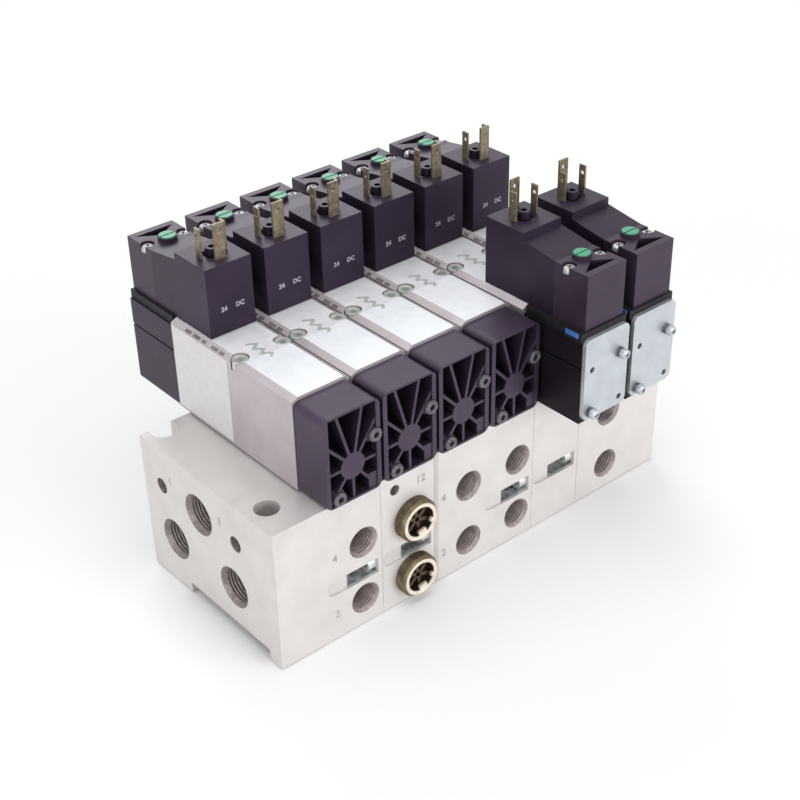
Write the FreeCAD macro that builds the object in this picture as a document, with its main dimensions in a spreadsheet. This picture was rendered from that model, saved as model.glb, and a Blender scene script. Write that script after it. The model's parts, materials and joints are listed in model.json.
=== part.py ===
"""Bank of six pilot operated solenoid valves on a sectional manifold.

Frame: origin in the middle of the back foot's underside,
+X along the manifold to its right end, +Y to the back, +Z up, millimetres. Valves 1 to 4
have one solenoid, at the back, and a webbed end cap at the front. Valves 5 and 6 are longer,
with a solenoid at each end and a steel cover plate on the front pilot block.
"""
import FreeCAD, Part
import os
import Sketcher
from FreeCAD import Placement, Rotation, Vector

DRIVING_SIZES = {
    # manifold
    "pitch": 27.0,
    "end_left": 22.9,
    "end_right": 22.7,
    "base_depth": 87.4,
    "base_height": 63.0,
    "foot_height": 5.0,
    "foot_front": 7.5,
    "foot_back": 27.0,
    "mount_hole_radius": 5.0,
    "mount_hole_inset": 9.0,
    "mount_hole_front": 15.2,
    "notch_depth": 8.8,
    "notch_radius": 5.5,
    # ports of the manifold
    "end_port_radius": 7.6,
    "end_port_depth": 15.0,
    "end_port_chamfer": 1.3,
    "gallery_radius": 7.0,
    "supply_port_from_front": 49.0,
    "supply_port_height": 45.2,
    "exhaust_port_height": 22.4,
    "exhaust_front_from_front": 28.4,
    "exhaust_back_from_front": 68.3,
    "pilot_port_radius": 3.4,
    "pilot_port_depth": 9.0,
    "pilot_gallery_radius": 2.5,
    "pilot_port_height": 45.4,
    "pilot_back_from_front": 74.4,
    "pilot_front_from_front": 24.5,
    "front_port_radius": 5.9,
    "front_port_depth": 14.0,
    "front_port_shift": 4.7,
    "fitting_shift": 2.1,
    "front_port_low": 12.1,
    "front_port_spacing": 27.1,
    "port_chamfer": 0.9,
    "gauge_hole_radius": 2.3,
    "gauge_hole_depth": 6.0,
    "gauge_hole_shift": 6.4,
    "gauge_hole_height": 55.7,
    # clamp screws that pull the sections together
    "slot_height": 7.0,
    "slot_level": 24.6,
    "slot_reach": 13.2,
    "slot_shallow": 1.2,
    "slot_steep_from": 10.0,
    "slot_steep_to": 15.0,
    "slot_bend_depth": 6.6,
    "slot_wall": 2.0,
    "slot_depth": 8.5,
    # socket head screws
    "socket_head_radius": 3.2,
    "socket_head_length": 3.8,
    "socket_flats": 3.0,
    "socket_depth": 2.2,
    "socket_shank_radius": 1.9,
    "socket_grip": 9.5,
    "screw_clearance": 0.15,
    # round brass port fittings
    "fitting_radius": 9.2,
    "fitting_stand_off": 5.3,
    "fitting_bevel": 0.9,
    "fitting_bore_radius": 6.0,
    "fitting_bore_depth": 4.2,
    "fitting_stem_depth": 9.0,
    "fitting_web": 1.7,
    # valve bodies
    "gasket_thickness": 1.0,
    "gasket_margin": 1.0,
    "valve_width": 26.4,
    "valve_height": 39.6,
    "valve_front": 15.2,
    "double_front": 8.7,
    "valve_overhang": 6.0,
    "valve_screw_from_front": 51.5,
    "bevel_width": 2.8,
    "bevel_height": 1.5,
    "recess_radius": 3.6,
    "recess_depth": 4.5,
    "recess_from_middle": 9.8,
    "spool_level": 13.8,
    "spool_radius": 5.0,
    "spool_groove_radius": 3.3,
    "spool_land": 5.0,
    "spool_travel": 4.0,
    "spool_end_gap": 0.3,
    "spool_clearance": 0.03,
    # webbed end caps
    "cap_width": 25.6,
    "cap_depth": 17.5,
    "cap_top_gap": 1.4,
    "cap_floor_gap": 0.2,
    "cap_corner": 3.0,
    "cap_side_wall": 2.0,
    "cap_thin_wall": 0.9,
    "cap_web_floor": 5.0,
    "cap_hub_radius": 5.5,
    "cap_spring_radius": 4.4,
    "cap_spring_depth": 12.0,
    "cap_rib": 1.2,
    "cap_rib_set_back": 0.5,
    "cap_boss_radius": 3.6,
    "cap_block_width": 3.7,
    "cap_block_height": 7.1,
    # screws through caps, cover plates and pilot heads
    "pan_head_radius": 2.5,
    "pan_head_height": 1.9,
    "pan_shank_radius": 1.4,
    "pan_grip": 5.0,
    "end_head_radius": 2.9,
    "end_head_height": 2.9,
    "end_head_seat": 1.9,
    "end_screw_right": 10.3,
    "end_screw_rise": 9.2,
    "end_screw_left": 7.0,
    "end_screw_drop": 11.5,
    # pilot blocks on the valve ends
    "block_width": 24.6,
    "block_depth": 31.6,
    "block_floor_gap": 0.4,
    "block_top_gap": 3.55,
    "block_seam_level": 12.0,
    "block_seam": 0.7,
    "cover_thickness": 1.8,
    "cover_width": 24.2,
    "cover_corner": 3.0,
    "cover_rise": 1.35,
    "cover_hole_radius": 1.3,
    "cover_head_radius": 2.2,
    "cover_head_height": 4.2,
    "cover_screw_right": 7.2,
    "cover_screw_rise": 11.8,
    "cover_screw_left": 8.5,
    "cover_screw_drop": 9.2,
    "cover_hole_right": 8.4,
    "cover_hole_left": 8.0,
    "cover_hole_rise": 9.5,
    "cover_hole_drop": 9.2,
    "cover_margin": 1.6,
    "seal_thickness": 3.85,
    "seal_set_back": 1.0,
    "clip_length": 9.0,
    "clip_stand_out": 0.8,
    "clip_height": 2.4,
    # coils with their plug faces
    "coil_width": 20.8,
    "coil_overhang": 24.2,
    "coil_end": 13.7,
    "coil_height": 23.5,
    "plug_length": 20.6,
    "plug_rise": 5.5,
    "low_top_slope": 2.6,
    "coil_axis_level": 11.5,
    "tube_radius": 4.4,
    "tube_clearance": 0.1,
    "tube_length": 28.0,
    "plug_boss_radius": 2.7,
    "plug_boss_height": 3.0,
    "plug_groove_radius": 3.9,
    "plug_groove_depth": 1.2,
    "plug_hole_radius": 1.3,
    "plug_hole_depth": 6.0,
    "blade_spacing": 11.2,
    "blade_width": 3.2,
    "earth_width": 4.8,
    "earth_height": 14.5,
    "blade_thickness": 0.8,
    "blade_height": 12.1,
    "blade_root": 2.0,
    "blade_clearance": 0.05,
    "blade_hole_radius": 0.9,
    "blade_hole_drop": 3.2,
    "earth_offset": 5.5,
    # pilot heads
    "head_depth": 17.1,
    "button_from_coil": 3.9,
    "collar_radius": 3.9,
    "collar_height": 1.6,
    "button_radius": 3.3,
    "button_height": 5.0,
    "button_stand_out": 0.4,
    "button_travel": 1.2,
    "button_end_gap": 0.5,
    "button_slot": 0.8,
    "button_clearance": 0.06,
    "pocket_half_width": 8.6,
    "pocket_apex_from_coil": 8.4,
    "pocket_end_from_coil": 14.0,
    "pocket_depth": 7.0,
    "head_screw_out": 8.2,
    "head_screw_from_coil": 5.6,
    "head_screw_drop": 2.9,
    "head_notch_clearance": 0.25,
}

doc = FreeCAD.newDocument("solenoid_valve_bank")
sheet = doc.addObject("Spreadsheet::Sheet", "Sizes")
for row, (alias, number) in enumerate(DRIVING_SIZES.items(), 1):
    sheet.set(f"A{row}", alias)
    sheet.set(f"B{row}", str(number))
    sheet.setAlias(f"B{row}", alias)
doc.recompute()


class Size:
    """A length worked out from the sheet: its present value and the expression for it."""

    def __init__(self, text, value):
        self.text = text
        self.value = value

    def __add__(self, other):
        other = as_size(other)
        return Size(f"({self.text} + {other.text})", self.value + other.value)

    def __sub__(self, other):
        other = as_size(other)
        return Size(f"({self.text} - {other.text})", self.value - other.value)

    def __mul__(self, other):
        other = as_size(other)
        return Size(f"({self.text} * {other.text})", self.value * other.value)

    def __truediv__(self, other):
        other = as_size(other)
        return Size(f"({self.text} / {other.text})", self.value / other.value)

    def __neg__(self):
        return Size(f"(0 - {self.text})", -self.value)

    __radd__ = __add__
    __rmul__ = __mul__

    def __rsub__(self, other):
        return as_size(other) - self


def as_size(thing):
    return thing if isinstance(thing, Size) else Size(f"({thing})", float(thing))


class Cells:
    """The sheet's cells as sizes, by alias."""

    def __getattr__(self, alias):
        return Size(f"Sizes.{alias}", DRIVING_SIZES[alias])


c = Cells()

# Places worked out from the driving sizes
STATIONS = 6
base_length = c.end_left + c.end_right + c.pitch * STATIONS
left_end = -base_length / 2
right_end = base_length / 2
back = c.foot_back / 2
front = back - c.base_depth
valve_back = back + c.valve_overhang
valve_floor = c.base_height + c.gasket_thickness
valve_top = valve_floor + c.valve_height
capped_face = front + c.valve_front
double_face = front + c.double_front
valve_screw_line = front + c.valve_screw_from_front
spool_axis = valve_floor + c.spool_level
cap_floor = c.base_height + c.cap_floor_gap
cap_top = valve_top - c.cap_top_gap
block_floor = c.base_height + c.block_floor_gap
block_top = valve_top - c.block_top_gap
seal_top = block_top + c.seal_thickness
coil_top = seal_top + c.coil_height
plug_top = coil_top + c.plug_rise
coil_axis = seal_top + c.coil_axis_level
plug_centre = c.plug_length / 2 - c.coil_overhang
button_place = c.coil_end + c.button_from_coil
collar_top = coil_top + c.collar_height
button_top = collar_top + c.button_stand_out
head_screw_place = c.coil_end + c.head_screw_from_coil
head_screw_seat = coil_top - c.head_screw_drop


CAPPED = (1, 2, 3, 4)
DOUBLE = (5, 6)
FITTED = 2


def face_of(number):
    """The plane of a valve body's front end."""
    return double_face if number in DOUBLE else capped_face


def station_start(number):
    """Where station number begins: the plane of a joint between sections."""
    return left_end + c.end_left + c.pitch * (number - 1)


def station_centre(number):
    return station_start(number) + c.pitch / 2


def bind(thing, prop, size):
    size = as_size(size)
    thing.setExpression(prop, size.text)


def place(thing, x=0, y=0, z=0, turn=0, axis=Vector(0, 0, 1)):
    """Put a thing at x, y, z, turned by a fixed angle about an axis through its origin."""
    where = Vector(as_size(x).value, as_size(y).value, as_size(z).value)
    thing.Placement = Placement(where, Rotation(axis, turn))
    bind(thing, "Placement.Base.x", x)
    bind(thing, "Placement.Base.y", y)
    bind(thing, "Placement.Base.z", z)
    return thing


def add(kind, **sizes):
    thing = doc.addObject(kind, "Piece")
    for prop, size in sizes.items():
        bind(thing, prop, size)
    return thing


def block(x, y, z, length, width, height):
    """A box with its low corner at x, y, z."""
    return place(add("Part::Box", Length=length, Width=width, Height=height), x, y, z)


AXIS_TURNS = {
    "+x": (90, Vector(0, 1, 0)),
    "-x": (-90, Vector(0, 1, 0)),
    "+y": (-90, Vector(1, 0, 0)),
    "-y": (90, Vector(1, 0, 0)),
    "+z": (0, Vector(0, 0, 1)),
    "-z": (180, Vector(1, 0, 0)),
}


def rod(x, y, z, towards, radius, length):
    """A cylinder from x, y, z along one axis."""
    turn, axis = AXIS_TURNS[towards]
    return place(add("Part::Cylinder", Radius=radius, Height=length), x, y, z, turn, axis)


def taper(x, y, z, towards, radius, end_radius, length):
    turn, axis = AXIS_TURNS[towards]
    cone = add("Part::Cone", Radius1=radius, Radius2=end_radius, Height=length)
    return place(cone, x, y, z, turn, axis)


def hexagon(x, y, z, towards, across_flats, length):
    turn, axis = AXIS_TURNS[towards]
    prism = add("Part::Prism", Circumradius=across_flats / 3 ** 0.5, Height=length)
    prism.Polygon = 6
    return place(prism, x, y, z, turn, axis)


def join(*things):
    """One solid from pieces that touch or overlap."""
    joined = doc.addObject("Part::MultiFuse", "Joined")
    joined.Shapes = list(things)
    joined.Refine = True
    return joined


def cut(base, *tools):
    """The base less the tools."""
    result = doc.addObject("Part::Cut", "Cut")
    result.Base = base
    result.Tool = tools[0] if len(tools) == 1 else group(*tools)
    result.Refine = True
    return result


def common(base, tool):
    result = doc.addObject("Part::Common", "Common")
    result.Base = base
    result.Tool = tool
    return result


def group(*things):
    """Pieces that stay separate solids."""
    together = doc.addObject("Part::Compound", "Group")
    together.Links = list(things)
    return together


def sketch_on(body, role, offset=0):
    """A sketch on an origin plane of its body, lifted off it by an offset."""
    plane = next(f for f in body.Origin.OriginFeatures if f.Role == role)
    sketch = body.newObject("Sketcher::SketchObject", "Outline")
    sketch.AttachmentSupport = (plane, [""])
    sketch.MapMode = "FlatFace"
    bind(sketch, "AttachmentOffset.Base.z", offset)
    return sketch


def outline(sketch, points):
    """A closed outline of straight lines, each corner held by two bound distances."""
    corners = [(as_size(x), as_size(y)) for x, y in points]
    count = len(corners)
    for number in range(count):
        here = Vector(corners[number][0].value, corners[number][1].value, 0)
        after = Vector(corners[(number + 1) % count][0].value, corners[(number + 1) % count][1].value, 0)
        sketch.addGeometry(Part.LineSegment(here, after), False)
    for number in range(count):
        sketch.addConstraint(Sketcher.Constraint("Coincident", number, 2, (number + 1) % count, 1))
    for number, corner in enumerate(corners):
        for kind, size in zip(("DistanceX", "DistanceY"), corner):
            held = sketch.addConstraint(Sketcher.Constraint(kind, -1, 1, number, 1, size.value))
            bind(sketch, f"Constraints[{held}]", size)


def extrusion(role, points, length, offset=0, reverse=False):
    """A body padded from one outline on an origin plane."""
    body = doc.addObject("PartDesign::Body", "Body")
    sketch = sketch_on(body, role, offset)
    outline(sketch, points)
    pad = body.newObject("PartDesign::Pad", "Pad")
    pad.Profile = sketch
    bind(pad, "Length", length)
    pad.Reversed = reverse
    return body


def round_long_edges(body, radius):
    """Round those edges of a padded body that run along Y."""
    doc.recompute()
    pad = body.Tip
    corners = [f"Edge{index}" for index, edge in enumerate(pad.Shape.Edges, 1)
               if abs(edge.tangentAt(edge.FirstParameter).y) > 0.99]
    rounding = body.newObject("PartDesign::Fillet", "Rounding")
    rounding.Base = (pad, corners)
    bind(rounding, "Radius", radius)
    body.Tip = rounding


def turned(points):
    """A body turned about the Y axis from a half section of radius and distance along Y."""
    body = doc.addObject("PartDesign::Body", "Body")
    sketch = sketch_on(body, "XY_Plane")
    outline(sketch, points)
    spin = body.newObject("PartDesign::Revolution", "Revolution")
    spin.Profile = sketch
    spin.ReferenceAxis = (sketch, ["V_Axis"])
    spin.Angle = 360
    return body


nodes = []


def node(name, thing):
    """Name a finished piece. Its label names its file."""
    thing.Label = name
    nodes.append(thing)
    return thing


# Manifold sections

def ring_mouth(x, y, z, towards, radius, chamfer):
    """The chamfer at the mouth of a port."""
    return taper(x, y, z, towards, radius + chamfer, radius, chamfer)


def port_line(number):
    """How far along the manifold a station's front ports lie."""
    return station_centre(number) + (c.fitting_shift if number == FITTED else c.front_port_shift)


def front_port(number, level):
    """A working port on the front face, with its chamfer."""
    x = port_line(number)
    return [rod(x, front, level, "+y", c.front_port_radius, c.front_port_depth),
            ring_mouth(x, front, level, "+y", c.front_port_radius, c.port_chamfer)]


def clamp_slot(number):
    """A slot that starts shallow with a round end and dives to the seat of a clamp screw."""
    centre = station_centre(number)
    end = centre + c.pitch / 2 - c.slot_wall
    start = centre - c.slot_reach
    round_middle = start + c.slot_height / 2
    round_end = rod(round_middle, front, c.slot_level, "+y", c.slot_height / 2, c.slot_shallow)
    floor = [(round_middle, front), (end, front), (end, front + c.slot_depth),
             (start + c.slot_steep_to, front + c.slot_bend_depth),
             (start + c.slot_steep_from, front + c.slot_shallow), (round_middle, front + c.slot_shallow)]
    dive = extrusion("XY_Plane", floor, c.slot_height, offset=c.slot_level - c.slot_height / 2)
    line = clamp_screw_line()
    bore = rod(end, line, c.slot_level, "+x", c.socket_shank_radius + c.screw_clearance,
               c.slot_wall)
    return [round_end, dive, bore]


def clamp_screw_line():
    """How far back the clamp screws lie, so that the slot's floor clears their heads."""
    last_run = c.slot_reach + c.pitch / 2 - c.slot_wall - c.slot_steep_to
    depth_at_head = c.slot_depth - (c.slot_depth - c.slot_bend_depth) * c.socket_head_length / last_run
    return front + depth_at_head - c.socket_head_radius - c.screw_clearance


def clamp_thread(number):
    """The hole that takes the clamp screw of the section before it."""
    return rod(station_start(number), clamp_screw_line(), c.slot_level, "+x",
               c.socket_shank_radius + c.screw_clearance, c.socket_grip - c.slot_wall)


def galleries(start, length, radius_pairs):
    """Air passages along the manifold, one for each port line."""
    return [rod(start, front + from_front, level, "+x", radius, length)
            for from_front, level, radius in radius_pairs]


MAIN_LINES = [(c.supply_port_from_front, c.supply_port_height),
              (c.exhaust_front_from_front, c.exhaust_port_height),
              (c.exhaust_back_from_front, c.exhaust_port_height)]
PILOT_LINES = [(c.pilot_back_from_front, c.pilot_port_height),
               (c.pilot_front_from_front, c.pilot_port_height)]


def end_ports(face, towards):
    """The threaded ports of an end face."""
    tools = []
    for from_front, level in MAIN_LINES:
        tools.append(rod(face, front + from_front, level, towards, c.end_port_radius, c.end_port_depth))
        tools.append(ring_mouth(face, front + from_front, level, towards, c.end_port_radius,
                                c.end_port_chamfer))
    for from_front, level in PILOT_LINES:
        tools.append(rod(face, front + from_front, level, towards, c.pilot_port_radius,
                         c.pilot_port_depth))
    return tools


def mounting(inset_x):
    """A hole near the front and a notch open to the back, both right through."""
    notch_centre = back - c.notch_depth + c.notch_radius
    return [rod(inset_x, front + c.mount_hole_front, 0, "+z", c.mount_hole_radius, c.base_height),
            rod(inset_x, notch_centre, 0, "+z", c.notch_radius, c.base_height),
            block(inset_x - c.notch_radius, notch_centre, 0,
                  c.notch_radius * 2, c.notch_depth, c.base_height)]


def screw_holes(numbers):
    """Threaded holes for the screws that hold the valves down."""
    depth = c.socket_grip
    return [rod(station_centre(number) + c.recess_from_middle * side, valve_screw_line, c.base_height,
                "-z", c.socket_shank_radius + c.screw_clearance, depth)
            for number in numbers for side in (-1, 1)]


def section(name, start, end, numbers, ports, slot, joined_left, more):
    """One manifold section: the rail's profile, its passages, ports and screw slots."""
    length = end - start
    profile = [(front, 0), (front + c.foot_front, 0), (front + c.foot_front, c.foot_height),
               (back - c.foot_back, c.foot_height), (back - c.foot_back, 0), (back, 0),
               (back, c.base_height), (front, c.base_height)]
    rail = extrusion("YZ_Plane", profile, length)
    place(rail, start)
    lines = [(from_front, level, c.gallery_radius) for from_front, level in MAIN_LINES]
    lines += [(from_front, level, c.pilot_gallery_radius) for from_front, level in PILOT_LINES]
    tools = galleries(start, length, lines) + screw_holes(numbers) + list(more)
    for number in ports:
        tools += front_port(number, c.front_port_low)
        tools += front_port(number, c.front_port_low + c.front_port_spacing)
    if slot:
        tools += clamp_slot(slot)
    if joined_left:
        tools.append(clamp_thread(joined_left))
    return node(name, cut(rail, *tools))


mount_left = left_end + c.mount_hole_inset
mount_right = right_end - c.mount_hole_inset
section("base_left", left_end, station_start(2), [1], [1], 1, 0,
        end_ports(left_end, "+x") + mounting(mount_left))
section("base_supply", station_start(2), station_start(3), [2], [2], 2, 2,
        [rod(station_centre(2) - c.gauge_hole_shift, front, c.gauge_hole_height, "+y",
             c.gauge_hole_radius, c.gauge_hole_depth)])
section("base_double", station_start(3), station_start(5), [3, 4], [3, 4], 4, 3, [])
section("base_single", station_start(5), station_start(6), [5], [], 5, 5, [])
section("base_right", station_start(6), right_end, [6], [6], 0, 6,
        end_ports(right_end, "-x") + mounting(mount_right))


# Round brass fittings in the supply section's front ports

def port_fitting(level):
    """A knurled collar on a stem, with a wide recess crossed by two webs."""
    collar = c.fitting_stand_off
    stem = c.front_port_radius - c.screw_clearance
    profile = [(0, -c.fitting_stem_depth), (stem, -c.fitting_stem_depth), (stem, 0),
               (c.fitting_radius, 0), (c.fitting_radius, collar - c.fitting_bevel),
               (c.fitting_radius - c.fitting_bevel, collar), (c.fitting_bore_radius, collar),
               (c.fitting_bore_radius, collar - c.fitting_bore_depth),
               (0, collar - c.fitting_bore_depth)]
    ring = turned(profile)
    reach = c.fitting_bore_radius * 2
    web_depth = c.fitting_bore_depth * 0.6
    floor = collar - c.fitting_bore_depth
    web_x = block(-c.fitting_bore_radius, floor, -c.fitting_web / 2, reach, web_depth, c.fitting_web)
    web_z = block(-c.fitting_web / 2, floor, -c.fitting_bore_radius, c.fitting_web, web_depth, reach)
    whole = join(ring, web_x, web_z)
    return place(whole, port_line(FITTED), front, level, 180)


node("port_fittings", group(port_fitting(c.front_port_low),
                            port_fitting(c.front_port_low + c.front_port_spacing)))


# Screws

def socket_screw(x, y, z, towards, shank_length):
    """A socket head screw whose head seat is at x, y, z and whose shank points towards."""
    opposite = {"+": "-", "-": "+"}[towards[0]] + towards[1]
    head = rod(x, y, z, opposite, c.socket_head_radius, c.socket_head_length)
    shank = rod(x, y, z, towards, c.socket_shank_radius, shank_length)
    step = {"x": (1, 0, 0), "y": (0, 1, 0), "z": (0, 0, 1)}[towards[1]]
    sign = 1 if towards[0] == "+" else -1
    top = [as_size(value) - c.socket_head_length * (part * sign)
           for value, part in zip((x, y, z), step)]
    return cut(join(head, shank), hexagon(*top, towards, c.socket_flats, c.socket_depth))


clamp_screws = [socket_screw(station_start(number + 1) - c.slot_wall, clamp_screw_line(), c.slot_level,
                             "+x", c.socket_grip) for number in (1, 2, 4, 5)]
valve_screws = [socket_screw(station_centre(number) + c.recess_from_middle * side, valve_screw_line,
                             valve_top - c.recess_depth, "-z",
                             c.valve_height - c.recess_depth + c.gasket_thickness + c.socket_grip - 1)
                for number in range(1, STATIONS + 1) for side in (-1, 1)]
node("socket_screws", group(*clamp_screws, *valve_screws))


def pan_screw(x, y, z, towards, head_radius, head_height, grip=c.pan_grip):
    """A pan head screw whose head seat is at x, y, z."""
    opposite = {"+": "-", "-": "+"}[towards[0]] + towards[1]
    head = taper(x, y, z, opposite, head_radius, head_radius * 0.8, head_height)
    shank = rod(x, y, z, towards, c.pan_shank_radius, grip)
    return join(head, shank)


# Valve bodies with their gaskets and spools

def valve_body(number):
    """A bar with bevelled top edges, a spool bore, two screw recesses and the end screws' holes."""
    half = c.valve_width / 2
    length = valve_back - face_of(number)
    screw_line = valve_screw_line - face_of(number)
    profile = [(-half, 0), (half, 0), (half, c.valve_height - c.bevel_height),
               (half - c.bevel_width, c.valve_height), (c.bevel_width - half, c.valve_height),
               (-half, c.valve_height - c.bevel_height)]
    bar = extrusion("XZ_Plane", profile, length, reverse=True)
    tools = [rod(0, 0, c.spool_level, "+y", c.spool_radius + c.spool_clearance, length)]
    for side in (-1, 1):
        x = c.recess_from_middle * side
        tools.append(rod(x, screw_line, c.valve_height, "-z", c.recess_radius, c.recess_depth))
        tools.append(rod(x, screw_line, 0, "+z", c.socket_shank_radius + c.screw_clearance,
                         c.valve_height))
    if number in CAPPED:
        for x, level in cap_screw_places():
            tools.append(rod(x, 0, level - valve_floor, "+y", c.pan_shank_radius + c.screw_clearance,
                             c.pan_grip))
    whole = cut(bar, *tools)
    place(whole, station_centre(number), face_of(number), valve_floor)
    return node(f"valve_body_{number}", whole)


def cap_screw_places():
    """The two screws, set across a diagonal, that hold an end cap."""
    return [(c.end_screw_right, spool_axis + c.end_screw_rise),
            (-c.end_screw_left, spool_axis - c.end_screw_drop)]


def cover_screw_places():
    """The two screws, set across a diagonal, that hold a cover plate, seen from the front."""
    return [(c.cover_screw_right, spool_axis + c.cover_screw_rise),
            (-c.cover_screw_left, spool_axis - c.cover_screw_drop)]


def cover_hole_places():
    """The two empty holes on a cover plate's other diagonal."""
    return [(c.cover_hole_right, spool_axis - c.cover_hole_drop),
            (-c.cover_hole_left, spool_axis + c.cover_hole_rise)]


def valve_gasket(number):
    """A flat gasket between a valve and the manifold, with the screws' holes."""
    half = c.valve_width / 2 - c.gasket_margin
    length = back - face_of(number) - c.gasket_margin * 2
    sheet_piece = block(-half, face_of(number) + c.gasket_margin, c.base_height, half * 2, length,
                        c.gasket_thickness)
    holes = [rod(c.recess_from_middle * side, valve_screw_line, c.base_height, "+z",
                 c.socket_shank_radius + c.screw_clearance, c.gasket_thickness) for side in (-1, 1)]
    return place(cut(sheet_piece, *holes), station_centre(number))


def spool(number):
    """A turned spool with five lands, held at the back end of its travel."""
    radius = c.spool_radius
    waist = c.spool_groove_radius
    spool_length = valve_back - face_of(number) - c.spool_travel - c.spool_end_gap * 2
    step = (spool_length - c.spool_land) / 4
    points = [(0, 0), (radius, 0)]
    for land in range(5):
        start = step * land
        if land:
            points += [(waist, start), (radius, start)]
        points.append((radius, start + c.spool_land))
        if land < 4:
            points.append((waist, start + c.spool_land))
    points.append((0, spool_length))
    turned_spool = turned(points)
    place(turned_spool, station_centre(number), valve_back - c.spool_end_gap - spool_length,
          spool_axis)
    return node(f"spool_{number}", turned_spool)


for number in range(1, STATIONS + 1):
    valve_body(number)
    spool(number)
node("valve_gaskets", group(*[valve_gasket(number) for number in range(1, STATIONS + 1)]))


# Webbed end caps of the valves with one solenoid

RIB_TURNS = (0, 55, 78, 106, 133, 180, 230, 270, 310)


def cap_envelope(share, start, depth):
    """The cap's block less a share of its walls: thick ones at the sides, thin ones above and below."""
    half = c.cap_width / 2 - c.cap_side_wall * share
    thin = c.cap_thin_wall * share
    return block(-half, start, cap_floor + thin, half * 2, depth, cap_top - cap_floor - thin * 2)


def end_cap(number):
    """A moulded cap: a rim, a hub for the return spring, and ribs from hub to rim."""
    outer_body = extrusion("XZ_Plane",
                           [(-c.cap_width / 2, cap_floor), (c.cap_width / 2, cap_floor),
                            (c.cap_width / 2, cap_top), (-c.cap_width / 2, cap_top)], c.cap_depth)
    round_long_edges(outer_body, c.cap_corner)
    cavity_depth = c.cap_depth - c.cap_web_floor
    cavity = cap_envelope(1, -c.cap_depth, cavity_depth)
    shell = cut(outer_body, cavity)
    rib_length = c.cap_depth - c.cap_web_floor - c.cap_rib_set_back
    ribs = []
    for turn in RIB_TURNS:
        rib = block(0, 0, 0, c.cap_width * 1.5, rib_length, c.cap_rib)
        turned_by = Rotation(Vector(0, 1, 0), -turn)
        drop = turned_by.multVec(Vector(0, 0, -0.5))
        place(rib, c.cap_rib * drop.x, -c.cap_web_floor - rib_length, spool_axis + c.cap_rib * drop.z)
        rib.Placement = Placement(rib.Placement.Base, turned_by)
        ribs.append(rib)
    hub = rod(0, -c.cap_web_floor, spool_axis, "-y", c.cap_hub_radius, rib_length)
    web = common(join(hub, *ribs), cap_envelope(0.5, -c.cap_depth, cavity_depth))
    bosses = [rod(x, -c.cap_web_floor, level, "-y", c.cap_boss_radius, cavity_depth - c.end_head_seat)
              for x, level in cap_screw_places()]
    corner_block = block(c.cap_width / 2 - c.cap_side_wall - c.cap_block_width,
                         -c.cap_depth + c.cap_rib_set_back, cap_floor + c.cap_thin_wall / 2,
                         c.cap_block_width + c.cap_side_wall / 2, cavity_depth, c.cap_block_height)
    solid = common(join(shell, web, *bosses, corner_block), cap_envelope(0, -c.cap_depth, c.cap_depth))
    tools = [rod(0, 0, spool_axis, "-y", c.cap_spring_radius, c.cap_spring_depth)]
    for x, level in cap_screw_places():
        tools.append(rod(x, 0, level, "-y", c.pan_shank_radius + c.screw_clearance, c.cap_depth))
        tools.append(rod(x, c.end_head_seat - c.cap_depth, level, "-y",
                         c.end_head_radius + c.screw_clearance, c.end_head_seat))
    whole = cut(solid, *tools)
    place(whole, station_centre(number), capped_face)
    return node(f"end_cap_{number}", whole)


for number in CAPPED:
    end_cap(number)


# Pilot stacks: block, seal, coil, head and button. Each is made at the end face of its
# valve with +Y pointing away from the valve, and turned round for the front.

REAR = [(number, 0) for number in range(1, STATIONS + 1)]
FRONT = [(number, 180) for number in DOUBLE]
PILOTS = REAR + FRONT


def side_name(turn):
    return "front" if turn else "rear"


def seat(thing, number, turn):
    """Put a piece of a pilot stack on its end of its valve."""
    return place(thing, station_centre(number), double_face if turn else valve_back, 0, turn)


def pilot_block(number, turn):
    """The block on the valve's end, with a moulding seam along its sides."""
    half = c.block_width / 2
    seam = block_top - c.block_seam_level
    profile = [(-half, block_floor), (half, block_floor), (half, seam), (half - c.block_seam, seam),
               (half - c.block_seam, seam + c.block_seam), (half, seam + c.block_seam),
               (half, block_top), (-half, block_top), (-half, seam + c.block_seam),
               (c.block_seam - half, seam + c.block_seam), (c.block_seam - half, seam), (-half, seam)]
    whole = extrusion("XZ_Plane", profile, c.block_depth, reverse=True)
    if turn:
        holes = [rod(-x, c.block_depth, level, "-y", c.pan_shank_radius + c.screw_clearance, c.pan_grip)
                 for x, level in cover_screw_places()]
        whole = cut(whole, *holes)
    return node(f"{side_name(turn)}_block_{number}", seat(whole, number, turn))


def pilot_seal(number, turn):
    """The seal plate under the coil and head, with the retaining clip on its edge."""
    half = c.block_width / 2 - c.block_seam
    plate = block(-half, c.seal_set_back, block_top, half * 2, c.block_depth - c.seal_set_back,
                  c.seal_thickness)
    clip = block(half - c.clip_height, c.block_depth - c.clip_length, block_top,
                 c.clip_height + c.block_seam + c.clip_stand_out, c.clip_length, c.seal_thickness)
    return seat(join(plate, clip), number, turn)


def blade_set():
    """The plug's blades: x, y, length along X, width along Y, height and the hole's direction."""
    thin = c.blade_thickness
    return [(-c.blade_spacing / 2, plug_centre, thin, c.blade_width, c.blade_height, "+x"),
            (c.blade_spacing / 2, plug_centre, thin, c.blade_width, c.blade_height, "+x"),
            (as_size(0), plug_centre - c.earth_offset, c.earth_width, thin, c.earth_height, "+y")]


def blade_block(x, y, length, width, height, clearance):
    """The block of a blade from its root upwards, or of its slot when clearance is given."""
    return block(x - length / 2 - clearance, y - width / 2 - clearance, plug_top - c.blade_root,
                 length + clearance * 2, width + clearance * 2, height)


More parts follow.
